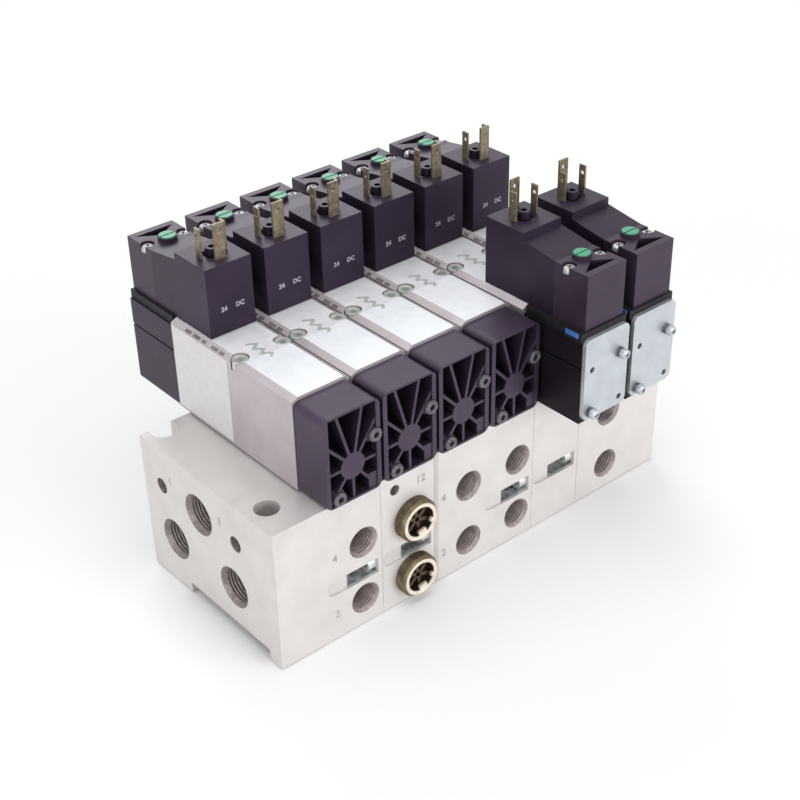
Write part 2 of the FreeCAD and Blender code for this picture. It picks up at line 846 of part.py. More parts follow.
def coil(number, turn):
    """A moulded coil: a block whose low top slopes to the head, with a raised plug face, a boss in
    a ring groove, a bore for the guide tube, and blade slots."""
    inner = -c.coil_overhang
    step = inner + c.plug_length
    profile = [(inner, seal_top), (c.coil_end, seal_top), (c.coil_end, coil_top),
               (step, coil_top + c.low_top_slope), (step, plug_top), (inner, plug_top)]
    body = extrusion("YZ_Plane", profile, c.coil_width, offset=-c.coil_width / 2)
    groove = cut(rod(0, plug_centre, plug_top, "-z", c.plug_groove_radius, c.plug_groove_depth),
                 rod(0, plug_centre, plug_top, "-z", c.plug_boss_radius, c.plug_groove_depth))
    boss = rod(0, plug_centre, plug_top, "+z", c.plug_boss_radius, c.plug_boss_height)
    tools = [groove,
             rod(0, c.coil_end, coil_axis, "-y", c.tube_radius + c.tube_clearance,
                 c.tube_length + c.tube_clearance),
             rod(0, plug_centre, plug_top + c.plug_boss_height, "-z", c.plug_hole_radius,
                 c.plug_hole_depth)]
    for x, y, length, width, _, _ in blade_set():
        tools.append(blade_block(x, y, length, width, c.blade_root, c.blade_clearance))
    whole = cut(join(body, boss), *tools)
    return node(f"{side_name(turn)}_coil_{number}", seat(whole, number, turn))


def blades(number, turn):
    """The plug's flat blades, each with a hole near its tip. The earth blade stands higher."""
    made = []
    for x, y, length, width, height, through in blade_set():
        blade = blade_block(x, y, length, width, c.blade_root + height, 0)
        level = plug_top + height - c.blade_hole_drop
        back_off = c.blade_thickness
        start = (x - back_off, y) if through == "+x" else (x, y - back_off)
        hole = rod(*start, level, through, c.blade_hole_radius, back_off * 2)
        made.append(cut(blade, hole))
    return seat(group(*made), number, turn)


def pilot_head(number, turn):
    """The pilot head with the guide tube, a collar round the button, a screw notch at each side and
    a three cornered pocket in the top."""
    half = c.coil_width / 2
    body = block(-half, c.coil_end, seal_top, c.coil_width, c.head_depth, c.coil_height)
    tube = rod(0, c.coil_end, coil_axis, "-y", c.tube_radius, c.tube_length)
    collar = rod(0, button_place, coil_top, "+z", c.collar_radius, c.collar_height)
    notch_radius = c.pan_head_radius + c.head_notch_clearance
    base_line = c.coil_end + c.pocket_end_from_coil
    pocket = extrusion("XY_Plane", [(-c.pocket_half_width, base_line), (c.pocket_half_width, base_line),
                                    (0, c.coil_end + c.pocket_apex_from_coil)],
                       c.pocket_depth, offset=coil_top - c.pocket_depth)
    tools = [pocket, rod(0, button_place, collar_top, "-z", c.button_radius + c.button_clearance,
                         c.button_height - c.button_stand_out + c.button_travel + c.button_end_gap)]
    for side in (-1, 1):
        x = c.head_screw_out * side
        tools.append(rod(x, head_screw_place, head_screw_seat, "+z", notch_radius,
                         c.head_screw_drop))
        tools.append(rod(x, head_screw_place, head_screw_seat, "-z",
                         c.pan_shank_radius + c.screw_clearance, c.pan_grip))
    whole = cut(join(body, tube, collar), *tools)
    return node(f"{side_name(turn)}_head_{number}", seat(whole, number, turn))


def head_screws(number, turn):
    screws = [pan_screw(c.head_screw_out * side, head_screw_place, head_screw_seat, "-z",
                        c.pan_head_radius, c.pan_head_height) for side in (-1, 1)]
    return seat(group(*screws), number, turn)


def override_button(number, turn):
    """The round manual override button in the top of a head, at rest."""
    button = rod(0, button_place, button_top, "-z", c.button_radius, c.button_height)
    slot = block(-c.button_radius, button_place - c.button_slot / 2, button_top - c.button_slot,
                 c.button_radius * 2, c.button_slot, c.button_slot)
    return node(f"{side_name(turn)}_button_{number}", seat(cut(button, slot), number, turn))


for number, turn in PILOTS:
    pilot_block(number, turn)
    coil(number, turn)
    pilot_head(number, turn)
    override_button(number, turn)
node("pilot_seals", group(*[pilot_seal(number, turn) for number, turn in PILOTS]))
node("terminal_blades", group(*[blades(number, turn) for number, turn in PILOTS]))


# Cover plates on the front blocks, and the pan head screws

def rounded_plate(half, depth, floor, top):
    """A plate facing along Y whose four corners are rounded."""
    plate = extrusion("XZ_Plane", [(-half, floor), (half, floor), (half, top), (-half, top)], depth)
    round_long_edges(plate, c.cover_corner)
    return plate


def cover_plate(number):
    """A cover plate with two screw holes and two empty ones."""
    plate = rounded_plate(c.cover_width / 2, c.cover_thickness, block_floor + c.cover_margin,
                          block_top + c.cover_rise)
    tools = [rod(x, 0, level, "-y", c.pan_shank_radius + c.screw_clearance, c.cover_thickness)
             for x, level in cover_screw_places()]
    tools += [rod(x, 0, level, "-y", c.cover_hole_radius, c.cover_thickness)
              for x, level in cover_hole_places()]
    return place(cut(plate, *tools), station_centre(number), double_face - c.block_depth)


node("cover_plates", group(*[cover_plate(number) for number in DOUBLE]))


def cap_screws(number):
    """The screws of an end cap, their heads on the bosses."""
    seat_depth = c.cap_depth - c.end_head_seat
    grip = seat_depth + c.pan_grip
    screws = [pan_screw(x, -seat_depth, level, "+y", c.end_head_radius, c.end_head_height, grip)
              for x, level in cap_screw_places()]
    return place(group(*screws), station_centre(number), capped_face)


def cover_screws(number):
    """The screws of a cover plate, their heads on the plate."""
    screws = [pan_screw(x, -c.cover_thickness, level, "+y", c.cover_head_radius, c.cover_head_height)
              for x, level in cover_screw_places()]
    return place(group(*screws), station_centre(number), double_face - c.block_depth)


node("pan_screws", group(*[cap_screws(number) for number in CAPPED],
                         *[cover_screws(number) for number in DOUBLE],
                         *[head_screws(number, turn) for number, turn in PILOTS]))

# Check and write
doc.recompute()
for thing in doc.Objects:
    faults = [word for word in thing.State if word in ("Invalid", "Error")]
    if faults:
        raise RuntimeError(f"{thing.Name} ({thing.Label}) is {faults}")
os.makedirs("parts", exist_ok=True)
for thing in nodes:
    shape = thing.Shape
    if shape.isNull() or not shape.isValid() or not shape.Solids:
        raise RuntimeError(f"{thing.Label} has no valid shape")
    shape.exportStep(os.path.join("parts", f"{thing.Label}.step"))
    print(thing.Label, len(shape.Solids), "solids", round(shape.Volume, 1), "mm3")
print(len(nodes), "nodes")
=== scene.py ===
"""Dress for the bank of six solenoid pilot valves: finishes, labels, threads, screws, marks and light."""
import json
import math
import bmesh
import bpy
from mathutils import Matrix, Vector


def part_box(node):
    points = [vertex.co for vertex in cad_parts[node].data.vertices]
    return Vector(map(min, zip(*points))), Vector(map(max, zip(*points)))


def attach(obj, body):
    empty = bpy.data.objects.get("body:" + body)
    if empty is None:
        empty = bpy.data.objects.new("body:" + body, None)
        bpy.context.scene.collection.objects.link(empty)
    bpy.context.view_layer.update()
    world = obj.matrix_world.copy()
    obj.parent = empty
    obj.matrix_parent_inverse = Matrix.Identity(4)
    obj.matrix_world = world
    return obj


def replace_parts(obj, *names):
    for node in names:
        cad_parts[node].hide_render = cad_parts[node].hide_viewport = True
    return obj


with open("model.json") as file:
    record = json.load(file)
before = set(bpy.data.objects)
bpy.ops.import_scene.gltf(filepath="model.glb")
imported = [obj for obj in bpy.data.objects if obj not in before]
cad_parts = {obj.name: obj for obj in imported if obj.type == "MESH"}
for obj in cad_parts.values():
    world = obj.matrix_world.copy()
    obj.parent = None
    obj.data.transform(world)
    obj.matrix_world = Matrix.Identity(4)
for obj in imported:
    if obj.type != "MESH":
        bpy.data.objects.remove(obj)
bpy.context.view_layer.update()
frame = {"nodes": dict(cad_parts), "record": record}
MM = 0.001
BANK = "valve_bank"


# Places that follow the solids, in millimetres

def span(node):
    """A node's lowest and highest corners in millimetres."""
    low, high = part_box(node)
    return [value / MM for value in low], [value / MM for value in high]


VALVES = range(1, 7)
CAPPED = (1, 2, 3, 4)
DOUBLE = (5, 6)
PORTED = (1, 3, 4, 6)
PILOTS = [(number, "rear") for number in VALVES] + [(number, "front") for number in DOUBLE]
LEFT, FRONT, _ = span("base_left")[0]
RIGHT, BACK, BASE_TOP = span("base_right")[1]
VALVE_TOP = span("valve_body_1")[1][2]
VALVE_BACK = span("valve_body_1")[1][1]
VALVE_HALF = 13.2
SPOOL_AXIS = (span("spool_1")[0][2] + span("spool_1")[1][2]) / 2
PORT_SHIFT = 4.7                # how far a port stands to the right of its valve's middle
FITTING_SHIFT = 2.1
PORT_LEVELS = (12.1, 39.2)
SUNK = 0.02                     # how far a film or a sleeve reaches into, or stays off, what carries it


def centre_x(number):
    """The middle of a valve along X."""
    low, high = span(f"valve_body_{number}")
    return (low[0] + high[0]) / 2


def behind_front(distance):
    """A place along Y from its distance behind the manifold's front face."""
    return FRONT + distance


# Finishes

def linear(colour):
    """An sRGB hex colour as linear red, green, blue and alpha."""
    parts = [int(colour[place:place + 2], 16) / 255 for place in (1, 3, 5)]
    curve = [part / 12.92 if part <= 0.04045 else ((part + 0.055) / 1.055) ** 2.4 for part in parts]
    return (*curve, 1.0)


def add(tree, kind, inputs=None, **settings):
    """A node with its settings, and its inputs given as numbers, colours or other nodes' outputs."""
    node = tree.nodes.new(kind)
    for name, value in settings.items():
        setattr(node, name, value)
    for name, value in (inputs or {}).items():
        if isinstance(value, bpy.types.NodeSocket):
            tree.links.new(value, node.inputs[name])
        else:
            node.inputs[name].default_value = value
    return node


def new_material(name):
    """An empty material, its tree, its shader and the place on the object in metres."""
    material = bpy.data.materials.new(name)
    material.use_nodes = True
    tree = material.node_tree
    shader = tree.nodes["Principled BSDF"]
    place = add(tree, "ShaderNodeTexCoord").outputs["Object"]
    return material, tree, shader, place


def per_mm(size):
    """The scale of a pattern whose features are size millimetres apart."""
    return 1 / (size * MM)


def varied(tree, pattern, low, high):
    """A pattern spread between two colours."""
    spread = add(tree, "ShaderNodeMapRange", {"Value": pattern, "From Min": 0.3, "From Max": 0.7})
    mixed = add(tree, "ShaderNodeMix", {"Factor": spread.outputs["Result"], "A": linear(low),
                                        "B": linear(high)}, data_type="RGBA")
    return mixed.outputs["Result"]


def gloss(tree, shader, pattern, roughness, swing):
    """Roughness that wanders round a typical value with a pattern."""
    spread = add(tree, "ShaderNodeMapRange", {"Value": pattern, "From Min": 0.3, "From Max": 0.7,
                                              "To Min": roughness - swing, "To Max": roughness + swing})
    tree.links.new(spread.outputs["Result"], shader.inputs["Roughness"])


def relief(tree, shader, pattern, height, rounding):
    """A bump of a height in millimetres, over edges softened by a rounding in millimetres."""
    edges = add(tree, "ShaderNodeBevel", {"Radius": rounding * MM}, samples=4)
    bump = add(tree, "ShaderNodeBump", {"Strength": 0.5, "Distance": height * MM, "Height": pattern,
                                        "Normal": edges.outputs["Normal"]})
    tree.links.new(bump.outputs["Normal"], shader.inputs["Normal"])


def within(tree, place, low, high):
    """1 inside a box given by two corners in millimetres, and 0 outside it."""
    split = add(tree, "ShaderNodeSeparateXYZ", {"Vector": place})
    inside = 1.0
    for axis, bottom, top in zip("XYZ", low, high):
        near = add(tree, "ShaderNodeMath", {0: split.outputs[axis], 1: (bottom + top) / 2 * MM,
                                            2: (top - bottom) / 2 * MM}, operation="COMPARE")
        inside = add(tree, "ShaderNodeMath", {0: inside, 1: near.outputs["Value"]},
                     operation="MULTIPLY").outputs["Value"]
    return inside


def machined_aluminium(name, low, high, metallic, roughness, line, along, patch=None):
    """Aluminium bar as sawn and milled: a soft grey sheen with cloudy patches, and faint cutter lines that
    run along the bar, drawn a little coarser than the real ones so that they show. The patch is a box, by two
    corners, in which it is printed or carries painted shade, and the two colours that it has there."""
    material, tree, shader, place = new_material(name)
    patches = add(tree, "ShaderNodeTexNoise", {"Vector": place, "Scale": per_mm(11.0), "Detail": 5.0})
    colour = varied(tree, patches.outputs["Fac"], low, high)
    shader.inputs["Metallic"].default_value = metallic
    if patch:
        corner, far_corner, patch_low, patch_high = patch
        inside = within(tree, place, corner, far_corner)
        blots = add(tree, "ShaderNodeTexNoise", {"Vector": place, "Scale": per_mm(3.2), "Detail": 2.0})
        colour = add(tree, "ShaderNodeMix", {"Factor": inside, "A": colour,
                                             "B": varied(tree, blots.outputs["Fac"], patch_low, patch_high)},
                     data_type="RGBA").outputs["Result"]
        bare = add(tree, "ShaderNodeMapRange", {"Value": inside, "To Min": metallic, "To Max": 0.0})
        tree.links.new(bare.outputs["Result"], shader.inputs["Metallic"])
    tree.links.new(colour, shader.inputs["Base Color"])
    stretched = add(tree, "ShaderNodeMapping", {"Vector": place, "Scale": along})
    lines = add(tree, "ShaderNodeTexNoise", {"Vector": stretched.outputs["Vector"], "Scale": per_mm(line),
                                             "Detail": 3.0})
    gloss(tree, shader, lines.outputs["Fac"], roughness, 0.08)
    relief(tree, shader, lines.outputs["Fac"], 0.03, 0.35)
    return material


def moulded_plastic(name, low, high, roughness, grain, rounding=0.35, specular=0.5, sheen_of="#FFFFFF"):
    """Plastic or rubber from a spark eroded mould: a cast that drifts a little over each piece, and a
    fine grain that spreads the light, so that dark tops turn grey under a bright sky. The grain is
    drawn coarser than the real one, which is too fine to show."""
    material, tree, shader, place = new_material(name)
    cast = add(tree, "ShaderNodeTexNoise", {"Vector": place, "Scale": per_mm(16.0), "Detail": 3.0})
    tree.links.new(varied(tree, cast.outputs["Fac"], low, high), shader.inputs["Base Color"])
    specks = add(tree, "ShaderNodeTexNoise", {"Vector": place, "Scale": per_mm(grain), "Detail": 2.0})
    gloss(tree, shader, specks.outputs["Fac"], roughness, 0.05)
    relief(tree, shader, specks.outputs["Fac"], 0.03, rounding)
    shader.inputs["Specular IOR Level"].default_value = specular
    shader.inputs["Specular Tint"].default_value = linear(sheen_of)
    shader.inputs["IOR"].default_value = 1.53
    return material


def plated_metal(name, low, high, metallic, roughness, cloud, rounding=0.15):
    """Plated or turned metal: bright, with a faint cloudiness in its tint and its gloss, and fine
    scratches from handling."""
    material, tree, shader, place = new_material(name)
    clouds = add(tree, "ShaderNodeTexNoise", {"Vector": place, "Scale": per_mm(cloud), "Detail": 3.0})
    tree.links.new(varied(tree, clouds.outputs["Fac"], low, high), shader.inputs["Base Color"])
    gloss(tree, shader, clouds.outputs["Fac"], roughness, 0.07)
    scratches = add(tree, "ShaderNodeTexNoise", {"Vector": place, "Scale": per_mm(0.4), "Detail": 2.0})
    relief(tree, shader, scratches.outputs["Fac"], 0.01, rounding)
    shader.inputs["Metallic"].default_value = metallic
    return material


def printed_film(name, low, high, roughness):
    """Printed polyester film or ink: smooth and a little glossy, with the slight ripple of a thin film."""
    material, tree, shader, place = new_material(name)
    ripple = add(tree, "ShaderNodeTexNoise", {"Vector": place, "Scale": per_mm(5.0), "Detail": 2.0})
    tree.links.new(varied(tree, ripple.outputs["Fac"], low, high), shader.inputs["Base Color"])
    gloss(tree, shader, ripple.outputs["Fac"], roughness, 0.04)
    relief(tree, shader, ripple.outputs["Fac"], 0.02, 0.05)
    return material


ALONG_X = (0.03, 1.0, 1.0)
ALONG_Y = (1.0, 0.03, 1.0)
PLUM = "#D8C4E4"
# painted shade: the box round the clamps' slots, whose walls are coloured dark and blotchy, and the two
# colours of that shade
SLOT_WALL_SHADE = ((LEFT + 2, FRONT + 1.5, 20.9), (RIGHT - 2, FRONT + 9, 28.3), "#55585A", "#C0C3C2")
PRINTED_TOPS = ((LEFT, FRONT - 9, VALVE_TOP - 0.05), (RIGHT, BACK, VALVE_TOP + 1), "#E4E3E8", "#F0F0F4")

# Aluminium bar, milled and left bare: pale warm grey, with painted shade in the clamps' slots, dark and
# blotchy on their walls
manifold_finish = machined_aluminium(
    "milled_manifold_aluminium", "#D0CBC9", "#D8D4D2", metallic=0.3, roughness=0.45, line=0.45,
    along=ALONG_X, patch=SLOT_WALL_SHADE)
# Extruded aluminium with a satin skin: a pinkish grey with draw lines along each valve, and pale tops
valve_finish = machined_aluminium(
    "satin_valve_aluminium", "#B7AEB2", "#C2BABE", metallic=0.5, roughness=0.38, line=0.35,
    along=ALONG_Y, patch=PRINTED_TOPS)
# A band of the same bar beside a section joint: a shade darker and duller than the milled face, painted shade
# for the shallow groove there
groove_shade_finish = machined_aluminium(
    "painted_shade_section_groove", "#BDB8B6", "#C6C1BF", metallic=0.3, roughness=0.5, line=0.45, along=ALONG_X)

# Glass filled nylon of coils and blocks: near black with a plum cast and a soft sheen
plastic_finish = moulded_plastic(
    "dark_moulded_nylon", "#221827", "#2B2132", roughness=0.42, grain=0.35, specular=0.35, sheen_of=PLUM)
# The heads' nylon, from another mould: a shade lighter, so that head and coil part on the sides
head_finish = moulded_plastic(
    "dark_head_nylon", "#2C222F", "#372C3A", roughness=0.42, grain=0.35, specular=0.4, sheen_of=PLUM)
# The end caps' nylon: a wider sheen, which lifts ribs and rims out of their black pockets
cap_finish = moulded_plastic(
    "black_cap_nylon", "#261D2A", "#302535", roughness=0.45, grain=0.35, rounding=0.25, specular=0.8,
    sheen_of=PLUM)
# The front pilot blocks' nylon: dull and nearly black, darker than the other nylon by painted shade for the
# shade they stand in beside the caps
block_shade_finish = moulded_plastic(
    "black_block_nylon_painted_shade", "#0E0B10", "#161219", roughness=0.5, grain=0.35, rounding=0.3, specular=0.25,
    sheen_of=PLUM)
# Nitrile rubber, pressed: black and matt, so that each seal reads as a line
seal_finish = moulded_plastic(
    "black_nitrile_rubber", "#100D13", "#18141B", roughness=0.6, grain=0.3, rounding=0.2, specular=0.3)
# Fibre gasket sheet, punched: a mid grey edge that hardly parts a valve from the manifold
gasket_finish = moulded_plastic(
    "grey_fibre_gasket", "#6E666B", "#7D767B", roughness=0.6, grain=0.3, rounding=0.1, specular=0.3)
# Acetal buttons from a polished mould: jade green with a small clean highlight
green_finish = moulded_plastic(
    "green_override_plastic", "#3E926F", "#4FA681", roughness=0.4, grain=0.5, rounding=0.15)
# Acetal clips from a polished mould: a strong blue against the black blocks
blue_finish = moulded_plastic(
    "blue_clip_plastic", "#2E5EA8", "#4377C0", roughness=0.4, grain=0.5, rounding=0.15)

# Zinc plated steel sheet, punched: bluish silver with a soft cloudy gloss
cover_finish = plated_metal(
    "zinc_plated_sheet", "#B4BABF", "#C0C6CB", metallic=0.6, roughness=0.38, cloud=7.0)
# Zinc plated screws, cold headed: bright glints on dome and cross
screw_finish = plated_metal(
    "bright_zinc_screw", "#A6A7AB", "#C9CACE", metallic=0.6, roughness=0.38, cloud=1.5)
# Dull zinc on the caps' screws: dark, so that only the ring round each socket catches light
ring_screw_finish = plated_metal(
    "dull_zinc_screw", "#4C4750", "#726C76", metallic=0.4, roughness=0.4, cloud=1.2)
# Painted shade on the sides of the cover plates' screws: zinc steel coloured dark grey, a band behind each
# pale head
screw_side_shade_finish = plated_metal(
    "painted_shade_screw_side", "#47484D", "#85878B", metallic=0.6, roughness=0.35, cloud=1.2)
# Zinc plated clamp screws, turned: pale heads that nearly match the printed tops round them
socket_finish = plated_metal(
    "zinc_socket_screw", "#C4C8C6", "#DFE2E0", metallic=0.5, roughness=0.4, cloud=1.5)
# Knurled brass: an olive brown band that the teeth break into fine stripes, its darkness partly the brass's
# own and partly a painted reflection of dim surroundings
knurl_reflection_finish = plated_metal(
    "knurled_brass_painted_reflection", "#54463A", "#82755C", metallic=0.5, roughness=0.42, cloud=3.5, rounding=0.08)
# Brass faced on a lathe and kept clean: a pale cream ring, the brightest part of a fitting
faced_brass_finish = plated_metal(
    "faced_pale_brass", "#DACDBA", "#EBE0D0", metallic=0.3, roughness=0.4, cloud=3.0)
# Painted shade on the recess's bottom: brown black, so that a fitting looks deep
recess_shade_finish = plated_metal(
    "painted_shade_brass_recess", "#160E09", "#2A1D14", metallic=0.0, roughness=0.6, cloud=1.2)
# Cast brass webs across the recess: dull brown with the recess's painted shade, just lighter than its bottom
web_shade_finish = plated_metal(
    "painted_shade_brass_web", "#3A2A1E", "#5E4937", metallic=0.2, roughness=0.5, cloud=1.2)
# Tinned brass strip, stamped: olive grey with a soft glint
blade_finish = plated_metal(
    "tinned_brass_blade", "#716757", "#92876F", metallic=0.6, roughness=0.36, cloud=2.0)
# Ground aluminium: an even bright gloss
spool_finish = plated_metal(
    "ground_aluminium_spool", "#C2C3C6", "#DCDDE0", metallic=0.9, roughness=0.22, cloud=5.0)
# Tapped aluminium: grey flanks with a shine where the tap ran, darker than the milled bar as painted shade in
# the bores
front_thread_shade_finish = plated_metal(
    "cut_thread_aluminium_painted_shade", "#887E7C", "#ACA2A0", metallic=0.5, roughness=0.45, cloud=1.5, rounding=0.05)
# Tapped aluminium of the wide end ports: browner and darker, painted shade deep in their bores
end_thread_shade_finish = plated_metal(
    "end_thread_aluminium_painted_shade", "#746B6A", "#988F8D", metallic=0.5, roughness=0.45, cloud=1.5, rounding=0.05)

# White polyester film: the whitest surface here, and faintly cool
label_finish = printed_film("white_label_film", "#F0F3FA", "#F8FBFF", roughness=0.34)
# Screen printed field: off white and a little more matt than the film beside it
film_finish = printed_film("pale_printed_top", "#E6E5EA", "#EFEFF3", roughness=0.4)
# Bare film on the first valve's side: a warm pale grey against the pinkish metal
panel_finish = printed_film("bare_side_panel", "#D3D0D1", "#DAD8D8", roughness=0.42)
# Thin printing ink on the tops: grey green and slightly uneven
ink_finish = printed_film("green_grey_ink", "#A9B0AD", "#BBC2BF", roughness=0.5)
# Marking ink on the bevels: dull dark grey
dash_finish = printed_film("dark_bevel_ink", "#6A6367", "#827B7F", roughness=0.5)
# Pad printed ink on the coils: a pale mauve grey, soft against near black
pale_ink_finish = printed_film("pale_coil_print", "#938B9B", "#AEA6B6", roughness=0.5)
# Figures stamped into bare aluminium: soft grey strokes, painted shade for the stamped hollows
mark_shade_finish = printed_film("stamped_mark_painted_shade", "#9C9795", "#B0ABA9", roughness=0.6)
# Shade and old oil in the joint between two sections: a thin grey line
joint_finish = printed_film("section_joint_shadow", "#8A8482", "#9C9694", roughness=0.7)

# The finish of each of the record's slots
FINISHES = {
    "manifold_metal": manifold_finish,
    "valve_metal": valve_finish,
    "dark_plastic": plastic_finish,
    "seal_rubber": seal_finish,
    "plate_steel": cover_finish,
    "screw_steel": socket_finish,
    "fitting_brass": knurl_reflection_finish,
    "blade_metal": blade_finish,
    "green_plastic": green_finish,
    "spool_metal": spool_finish,
}

# Nodes that differ from the rest of their slot, by the start of their names
OWN_FINISHES = {
    "end_cap": cap_finish,
    "front_block": block_shade_finish,
    "rear_head": head_finish,
    "front_head": head_finish,
    "valve_gaskets": gasket_finish,
}


def paint(thing, material):
    """Gives an object one finish."""
    thing.data.materials.clear()
    thing.data.materials.append(material)


for part in frame["record"]["subparts"]:
    piece_finish = FINISHES[part["material_slot"]]
    for start, own_finish in OWN_FINISHES.items():
        if part["node"].startswith(start):
            piece_finish = own_finish
    paint(frame["nodes"][part["node"]], piece_finish)


# Pieces

def from_mesh(name, mesh, material, smooth=True):
    """An object at the origin that rides on the bank and takes a finish, smooth but for its sharp edges."""
    thing = bpy.data.objects.new(name, mesh)
    bpy.context.scene.collection.objects.link(thing)
    if smooth:
        mesh.shade_smooth()
        mesh.set_sharp_from_angle(angle=math.radians(35))
    paint(thing, material)
    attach(thing, BANK)
    return thing


def finished(name, work, material):
    """A piece in metres from work in millimetres."""
    bmesh.ops.scale(work, vec=(MM, MM, MM), verts=work.verts)
    mesh = bpy.data.meshes.new(name)
    work.to_mesh(mesh)
    work.free()
    return from_mesh(name, mesh, material)


def block(work, low, high, corner=0.0, turn=None):
    """Adds a block between two corners, whose upright edges may be rounded, turned about its middle."""
    made = bmesh.ops.create_cube(work, size=1.0)["verts"]
    size = [top - bottom for bottom, top in zip(low, high)]
    middle = Vector([(bottom + top) / 2 for bottom, top in zip(low, high)])
    bmesh.ops.scale(work, vec=size, verts=made)
    if corner:
        upright = {edge for vert in made for edge in vert.link_edges
                   if abs((edge.verts[0].co - edge.verts[1].co).normalized().z) > 0.99}
        rounded = bmesh.ops.bevel(work, geom=list(upright), offset=corner, offset_type="OFFSET", segments=5,
                                  profile=0.5, affect="EDGES", material=-1)
        made = list({vert for vert in made if vert.is_valid} | set(rounded["verts"]))
    if turn:
        bmesh.ops.transform(work, matrix=turn, verts=made)
    bmesh.ops.translate(work, vec=middle, verts=made)


# Turns from +Z, along which things are made, to the axis that they point along
TOWARDS = {
    "+x": Matrix.Rotation(math.radians(90), 4, "Y"),
    "-x": Matrix.Rotation(math.radians(-90), 4, "Y"),
    "+y": Matrix.Rotation(math.radians(-90), 4, "X"),
    "-y": Matrix.Rotation(math.radians(90), 4, "X"),
    "+z": Matrix.Identity(4),
}


def turned(work, outline, place, towards, steps=40):
    """Spins an outline of radius and height into a solid that stands at a place, pointing towards an axis."""
    verts = [work.verts.new((radius, 0, height)) for radius, height in outline]
    edges = [work.edges.new(pair) for pair in zip(verts, verts[1:])]
    if outline[0][0] or outline[-1][0]:
        edges.append(work.edges.new((verts[-1], verts[0])))
    before = set(work.verts) - set(verts)
    bmesh.ops.spin(work, geom=verts + edges, axis=(0, 0, 1), cent=(0, 0, 0), angle=math.tau, steps=steps,
                   use_merge=True)
    made = [vert for vert in work.verts if vert not in before]
    bmesh.ops.remove_doubles(work, verts=made, dist=0.0005)
    made = [vert for vert in work.verts if vert not in before]
    faces = list({face for vert in made for face in vert.link_faces})
    bmesh.ops.recalc_face_normals(work, faces=faces)
    bmesh.ops.transform(work, matrix=Matrix.Translation(place) @ TOWARDS[towards], verts=made)


def lettering(name, words, height, place, turn, depth, material, bold):
    """Figures standing a little out of a face, their strokes widened by bold. turn takes them from the
    XY plane to the face."""
    curve = bpy.data.curves.new(name, "FONT")
    curve.body = words
    curve.size = height * MM
    curve.extrude = depth * MM
    curve.offset = bold * MM
    curve.align_x = "CENTER"
    curve.align_y = "CENTER"
    curve.resolution_u = 3
    holder = bpy.data.objects.new(name + "_curve", curve)
    bpy.context.scene.collection.objects.link(holder)
    mesh = bpy.data.meshes.new_from_object(holder)
    mesh.name = name
    bpy.data.objects.remove(holder)
    mesh.transform(Matrix.Translation(Vector(place) * MM) @ turn)
    return from_mesh(name, mesh, material, smooth=False)


UPRIGHT = Matrix.Rotation(math.radians(90), 4, "X")
ON_LEFT_END = Matrix.Rotation(math.radians(-90), 4, "Z") @ UPRIGHT


# Films and print on the valves' tops, and the panel on the first valve's side

LABEL_FROM, LABEL_TO, LABEL_HALF = behind_front(15.6), behind_front(46.9), 10.5
PRINT_FROM, PRINT_TO, PRINT_HALF = behind_front(55.6), behind_front(68.6), 10.3
# the sign of a return spring, as circuit diagrams draw it: its corners from the valve's middle and front
SPRING_SIGN = [(-2.8, 57.2), (0.6, 55.2), (-2.6, 52.6), (0.4, 50.4), (-2.2, 48.0), (1.0, 46.0),
               (-0.6, 44.2)]
STROKE_HALF = 0.6
# the printed dashes on each bevel, from the front face, and their place and half width on it
DASHES = ((58.2, 61.4), (62.5, 66.7), (70.2, 72.9), (74.3, 78.8), (80.2, 84.0))
DASH_ASIDE, DASH_HALF, DASH_DROP = 12.3, 0.7, 1.02
BEVEL_SLOPE = math.atan2(1.5, 2.8)
for number in VALVES:
    x = centre_x(number)
    work = bmesh.new()
    block(work, (x - LABEL_HALF, LABEL_FROM, VALVE_TOP - SUNK), (x + LABEL_HALF, LABEL_TO, VALVE_TOP + 0.16),
          corner=0.8)
    finished(f"valve_label_{number}", work, label_finish)
    work = bmesh.new()
    block(work, (x - PRINT_HALF, PRINT_FROM, VALVE_TOP - SUNK), (x + PRINT_HALF, PRINT_TO, VALVE_TOP + 0.05))
    finished(f"top_print_{number}", work, film_finish)
    work = bmesh.new()
    for stroke, ((x1, y1), (x2, y2)) in enumerate(zip(SPRING_SIGN, SPRING_SIGN[1:])):
        # every other stroke stands a little higher, so that no two tops share a plane where they cross
        level = VALVE_TOP + 0.09 + 0.03 * (stroke % 2)
        middle = Vector((x + (x1 + x2) / 2, behind_front((y1 + y2) / 2), level))
        reach = Vector((math.hypot(x2 - x1, y2 - y1) / 2 + STROKE_HALF / 2, STROKE_HALF, 0.1))
        along = math.atan2(y2 - y1, x2 - x1)
        block(work, middle - reach, middle + reach, turn=Matrix.Rotation(along, 4, "Z"))
    finished(f"spring_sign_{number}", work, ink_finish)
    work = bmesh.new()
    for side in (-1, 1):
        for start, end in DASHES:
            middle = Vector((x + DASH_ASIDE * side, behind_front((start + end) / 2), VALVE_TOP - DASH_DROP))
            reach = Vector((DASH_HALF, (end - start) / 2, 0.06))
            block(work, middle - reach, middle + reach, turn=Matrix.Rotation(BEVEL_SLOPE * side, 4, "Y"))
    finished(f"bevel_dashes_{number}", work, dash_finish)

PANEL_FRONT, PANEL_BACK = behind_front(55.5), VALVE_BACK - 0.5
PANEL_FLOOR, PANEL_TOP = 65.2, 101.6
work = bmesh.new()
panel_face = centre_x(1) - VALVE_HALF
block(work, (panel_face - 0.12, PANEL_FRONT, PANEL_FLOOR), (panel_face + SUNK, PANEL_BACK, PANEL_TOP))
finished("side_panel", work, panel_finish)


# Print on the coils: the voltage and the kind of current

